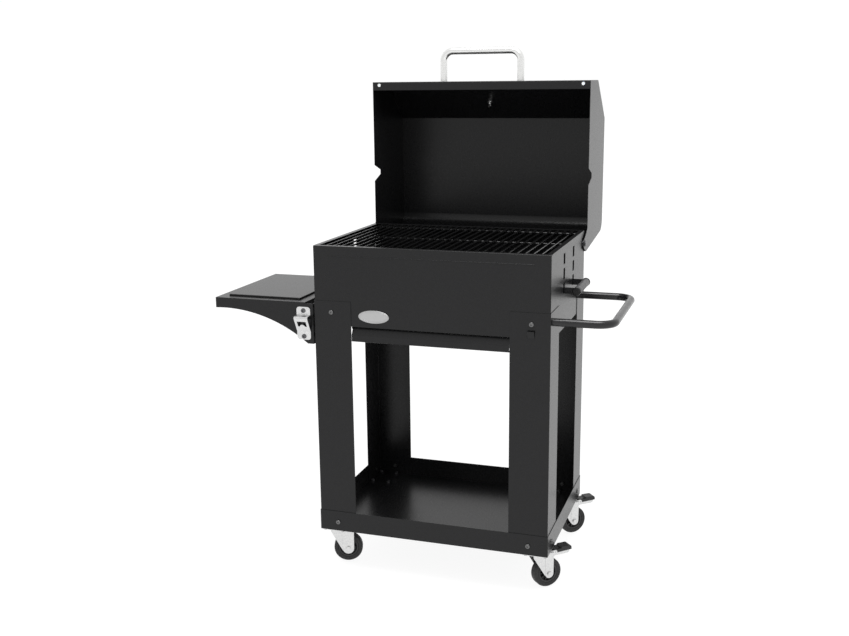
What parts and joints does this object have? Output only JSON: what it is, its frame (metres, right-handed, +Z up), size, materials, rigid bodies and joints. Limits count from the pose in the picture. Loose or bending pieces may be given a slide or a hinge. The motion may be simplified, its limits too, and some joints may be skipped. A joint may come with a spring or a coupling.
{
  "type": "charcoal grill trolley",
  "caption": "Box-shaped charcoal grill on a sheet-metal trolley with a hinged faceted lid, ash drawer, lift-out grates, side table, push handle and castors.",
  "frame": {"origin": "middle of the base of the whole object's box, on the floor", "axes": "+Z up; +Y to the back of the grill, where the lid leans; +X to the right of a person in front"},
  "size_m": [1.023, 0.7096, 1.3253],
  "materials": {
    "black_powder_coat": "satin powder coat",
    "gloss_black_coat": "semi-gloss",
    "black_enamel": "gloss enamel",
    "grip_coat": "satin",
    "satin_steel": "satin",
    "zinc_plate": "bright zinc plating",
    "badge_metal": "satin",
    "dark_fastener": "black oxide",
    "light_silicone": "matte",
    "dial_face": "matte print",
    "dial_print": "matte",
    "clear_glass": "clear",
    "black_plastic": "fine texture",
    "hub_plastic": "satin",
    "tyre_rubber": "matte"
  },
  "bodies": {
    "cart": {"storage_tray": "black_powder_coat", "leg_front_left": "black_powder_coat", "leg_front_right": "black_powder_coat", "leg_rear_left": "black_powder_coat", "leg_rear_right": "black_powder_coat", "firebox_front": "black_powder_coat", "firebox_back": "black_powder_coat", "firebox_left": "black_powder_coat", "firebox_right": "black_powder_coat", "firebox_floor": "black_powder_coat", "frame_screws": "dark_fastener", "side_screws": "dark_fastener", "hinge_pins": "dark_fastener", "badge_plate": "badge_metal", "push_handle": "gloss_black_coat", "drawer_rails": "black_powder_coat", "castor_plates": "zinc_plate", "castor_bolts": "dark_fastener"},
    "drawer": {"ash_drawer": "black_powder_coat"},
    "pan": {"charcoal_pan": "black_enamel"},
    "yoke_left": {"pan_yoke_left": "gloss_black_coat", "pan_yoke_grip_left": "grip_coat", "pan_yoke_caps_left": "black_plastic"},
    "yoke_right": {"pan_yoke_right": "gloss_black_coat", "pan_yoke_grip_right": "grip_coat", "pan_yoke_caps_right": "black_plastic"},
    "grate_left": {"cooking_grate_left": "black_enamel"},
    "grate_right": {"cooking_grate_right": "black_enamel"},
    "lid": {"lid_shell": "black_powder_coat", "lid_sides": "black_powder_coat", "lid_handle": "satin_steel", "lid_handle_screws": "dark_fastener", "lid_bumpers": "light_silicone", "thermometer_case": "satin_steel", "thermometer_dial": "dial_face", "thermometer_glass": "clear_glass", "thermometer_nut": "zinc_plate"},
    "pointer": {"thermometer_pointer": "dial_print"},
    "table": {"table_top": "black_powder_coat", "table_brackets": "black_powder_coat", "bottle_opener": "zinc_plate", "opener_screws": "dark_fastener"},
    "castor_front_left": {"castor_fork_front_left": "zinc_plate", "castor_axle_front_left": "zinc_plate"},
    "wheel_front_left": {"castor_tyre_front_left": "tyre_rubber", "castor_hub_front_left": "hub_plastic"},
    "castor_front_right": {"castor_fork_front_right": "zinc_plate", "castor_axle_front_right": "zinc_plate"},
    "wheel_front_right": {"castor_tyre_front_right": "tyre_rubber", "castor_hub_front_right": "hub_plastic"},
    "pedal_front_right": {"brake_pedal_front_right": "black_plastic"},
    "castor_rear_left": {"castor_fork_rear_left": "zinc_plate", "castor_axle_rear_left": "zinc_plate"},
    "wheel_rear_left": {"castor_tyre_rear_left": "tyre_rubber", "castor_hub_rear_left": "hub_plastic"},
    "castor_rear_right": {"castor_fork_rear_right": "zinc_plate", "castor_axle_rear_right": "zinc_plate"},
    "wheel_rear_right": {"castor_tyre_rear_right": "tyre_rubber", "castor_hub_rear_right": "hub_plastic"},
    "pedal_rear_right": {"brake_pedal_rear_right": "black_plastic"}
  },
  "joints": [
    {"name": "lid_hinge", "type": "hinge", "parent": "cart", "child": "lid", "pos_m": [0.0625, 0.07683, 0.814], "axis": [1, 0, 0], "range_deg": [0, 90]},
    {"name": "ash_drawer_slide", "type": "slide", "parent": "cart", "child": "drawer", "axis": [0, -1, 0], "range_m": [0, 0.3]},
    {"name": "charcoal_pan_lift", "type": "slide", "parent": "cart", "child": "pan", "axis": [0, 0, 1], "range_m": [0, 0.073]},
    {"name": "pan_yoke_left_pull", "type": "slide", "parent": "cart", "child": "yoke_left", "axis": [-1, 0, 0], "range_m": [0, 0.045]},
    {"name": "pan_yoke_right_pull", "type": "slide", "parent": "cart", "child": "yoke_right", "axis": [1, 0, 0], "range_m": [0, 0.045]},
    {"name": "cooking_grate_left_lift", "type": "slide", "parent": "cart", "child": "grate_left", "axis": [0, 0, 1], "range_m": [0, 0.1]},
    {"name": "cooking_grate_right_lift", "type": "slide", "parent": "cart", "child": "grate_right", "axis": [0, 0, 1], "range_m": [0, 0.1]},
    {"name": "side_table_lift", "type": "slide", "parent": "cart", "child": "table", "axis": [0, 0, 1], "range_m": [0, 0.014]},
    {"name": "thermometer_pointer_turn", "type": "hinge", "parent": "lid", "child": "pointer", "pos_m": [0.0485, 0.29183, 1.18265], "axis": [0, -0.6413, -0.7673], "range_deg": [0, 240], "stiffness_Nm_per_rad": 0.001},
    {"name": "castor_front_left_swivel", "type": "hinge", "parent": "cart", "child": "castor_front_left", "pos_m": [-0.2045, -0.28817, 0.003], "axis": [0, 0, 1], "continuous": true},
    {"name": "wheel_front_left_roll", "type": "hinge", "parent": "castor_front_left", "child": "wheel_front_left", "pos_m": [-0.18383, -0.28064, 0.0375], "axis": [-0.342, 0.9397, 0], "continuous": true},
    {"name": "castor_front_right_swivel", "type": "hinge", "parent": "cart", "child": "castor_front_right", "pos_m": [0.3295, -0.28817, 0.003], "axis": [0, 0, 1], "continuous": true},
    {"name": "wheel_front_right_roll", "type": "hinge", "parent": "castor_front_right", "child": "wheel_front_right", "pos_m": [0.34585, -0.27345, 0.0375], "axis": [-0.6691, 0.7431, 0], "continuous": true},
    {"name": "pedal_front_right_press", "type": "hinge", "parent": "castor_front_right", "child": "pedal_front_right", "pos_m": [0.35923, -0.2614, 0.0915], "axis": [-0.6691, 0.7431, 0], "range_deg": [0, 8]},
    {"name": "castor_rear_left_swivel", "type": "hinge", "parent": "cart", "child": "castor_rear_left", "pos_m": [-0.2045, 0.05183, 0.003], "axis": [0, 0, 1], "continuous": true},
    {"name": "wheel_rear_left_roll", "type": "hinge", "parent": "castor_rear_left", "child": "wheel_rear_left", "pos_m": [-0.18383, 0.05936, 0.0375], "axis": [-0.342, 0.9397, 0], "continuous": true},
    {"name": "castor_rear_right_swivel", "type": "hinge", "parent": "cart", "child": "castor_rear_right", "pos_m": [0.3295, 0.05183, 0.003], "axis": [0, 0, 1], "continuous": true},
    {"name": "wheel_rear_right_roll", "type": "hinge", "parent": "castor_rear_right", "child": "wheel_rear_right", "pos_m": [0.34635, 0.06597, 0.0375], "axis": [-0.6428, 0.766, 0], "continuous": true},
    {"name": "pedal_rear_right_press", "type": "hinge", "parent": "castor_rear_right", "child": "pedal_rear_right", "pos_m": [0.36014, 0.07754, 0.0915], "axis": [-0.6428, 0.766, 0], "range_deg": [0, 8]}
  ]
}
